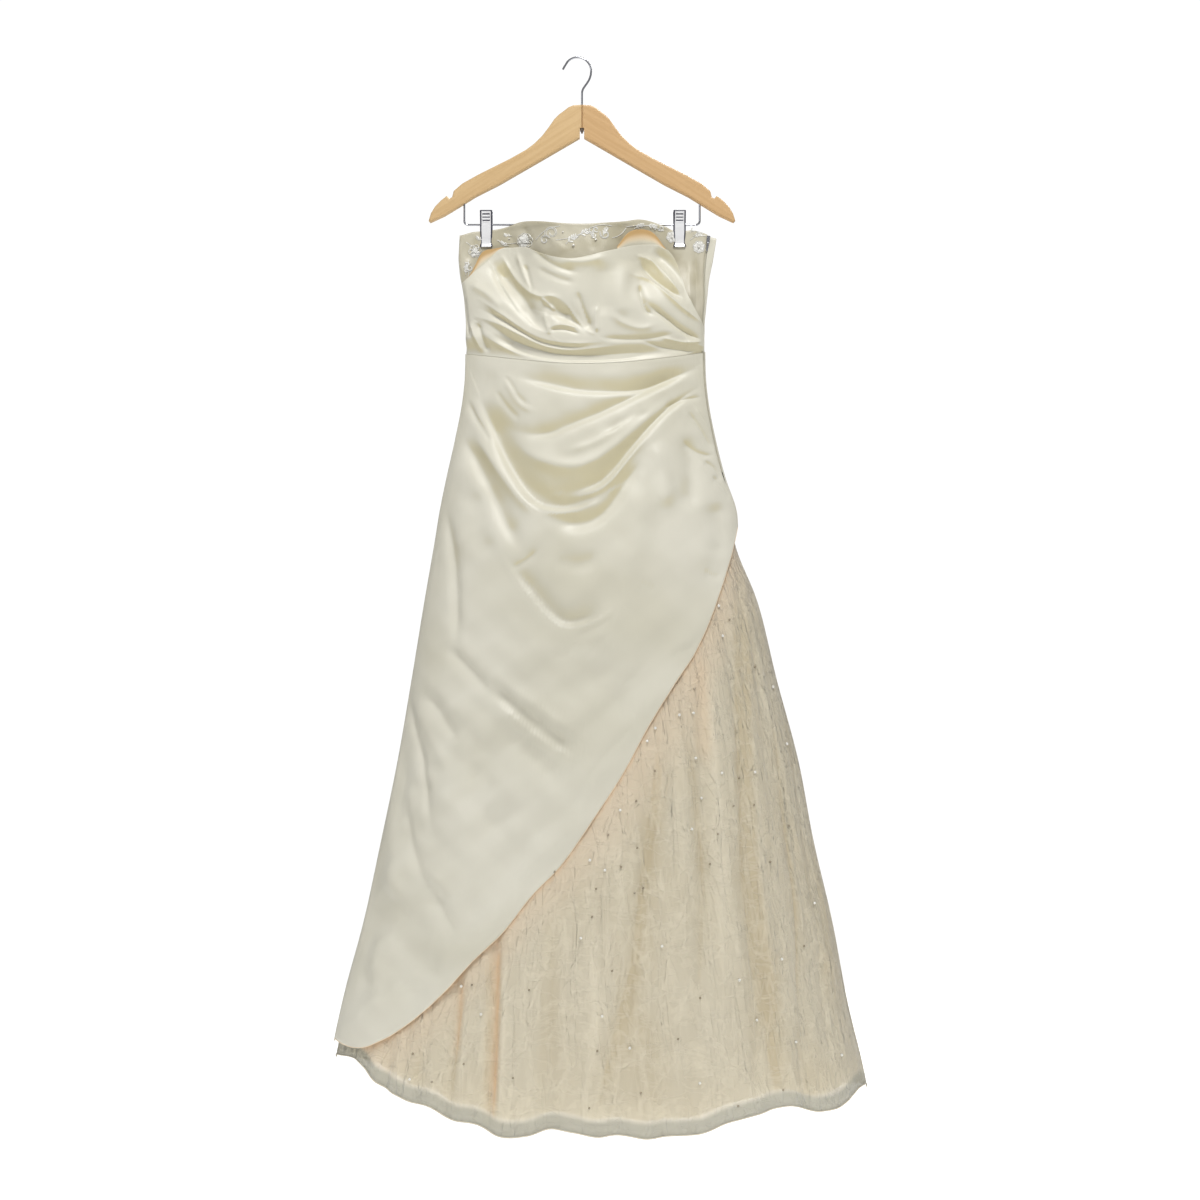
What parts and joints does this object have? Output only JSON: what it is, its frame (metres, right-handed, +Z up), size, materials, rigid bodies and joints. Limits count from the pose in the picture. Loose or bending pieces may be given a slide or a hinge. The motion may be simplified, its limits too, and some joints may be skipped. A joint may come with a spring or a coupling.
{
  "type": "strapless party dress on a trouser clip hanger",
  "caption": "Strapless satin evening gown with a wrapped overskirt above a sheer beaded skirt, held by two clips on a wooden hanger.",
  "frame": {"origin": "inside top of the hanger's hook, where it rests on a rail", "axes": "+Z up, the dress's front faces -Y, +X towards the side with the zip"},
  "size_m": [0.7718, 0.2709, 1.5305],
  "materials": {
    "satin": "satin",
    "satin_underside": "satin",
    "organza": "sheer",
    "lining": "smooth",
    "zip_cloth": "woven",
    "metal": "polished",
    "wood": "clear varnish"
  },
  "bodies": {
    "dress": {"bodice_front": "satin", "bodice_back": "satin", "bodice_drape": "satin", "drape_facing_left": "satin_underside", "drape_facing_right": "satin_underside", "satin_skirt_front": "satin", "satin_skirt_back": "satin", "organza_front": "organza", "organza_back": "organza", "lining_front": "lining", "lining_back": "lining", "zip_tape": "zip_cloth", "zip_slider": "metal", "hanger_left": "wood", "hanger_right": "wood", "hook": "metal", "hook_nut": "metal", "bar": "metal", "clip_left_front": "metal", "clip_left_back": "metal", "clip_left_spring": "metal", "clip_right_front": "metal", "clip_right_back": "metal", "clip_right_spring": "metal"},
    "pull": {"zip_pull": "metal"}
  },
  "joints": [
    {"name": "zip_pull_hinge", "type": "hinge", "parent": "dress", "child": "pull", "pos_m": [0.1888, -0.00657, -0.26808], "axis": [-0.9866, -0.1012, 0.1283], "range_deg": [0, 130]}
  ]
}
